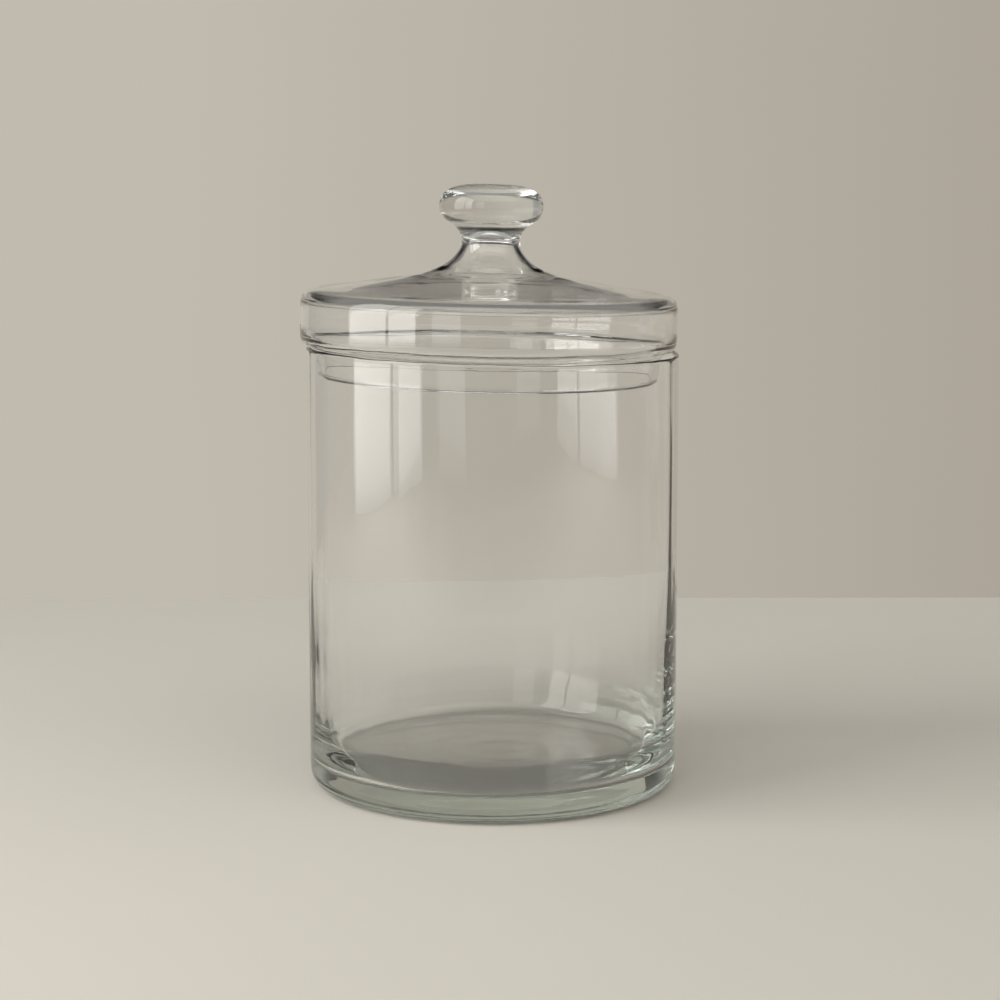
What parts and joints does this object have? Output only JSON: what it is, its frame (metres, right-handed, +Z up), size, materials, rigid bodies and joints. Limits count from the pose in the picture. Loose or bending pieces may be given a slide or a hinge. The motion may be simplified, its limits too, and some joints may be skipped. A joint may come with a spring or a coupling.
{
  "type": "lidded glass canister",
  "caption": "Straight clear glass storage jar with a thick rounded base and a loose blown glass lid that has a solid mushroom knob.",
  "frame": {"origin": "centre of the flat ring that the jar stands on, on the jar's axis", "axes": "+Z up along the jar's axis, -Y the front, +X the side where the hand-cut rim is slightly low"},
  "size_m": [0.1528, 0.1522, 0.244],
  "materials": {
    "jar_glass": "clear soda glass with a faint grey-green cast, gloss, slightly uneven",
    "lid_glass": "clear soda glass with a faint grey-green cast, gloss, slightly uneven"
  },
  "bodies": {
    "jar": {"jar": "jar_glass"},
    "lid": {"lid": "lid_glass"}
  },
  "joints": [
    {"name": "lid_lift", "type": "slide", "parent": "jar", "child": "lid", "axis": [0, 0, 1], "range_m": [0, 0.17]}
  ]
}
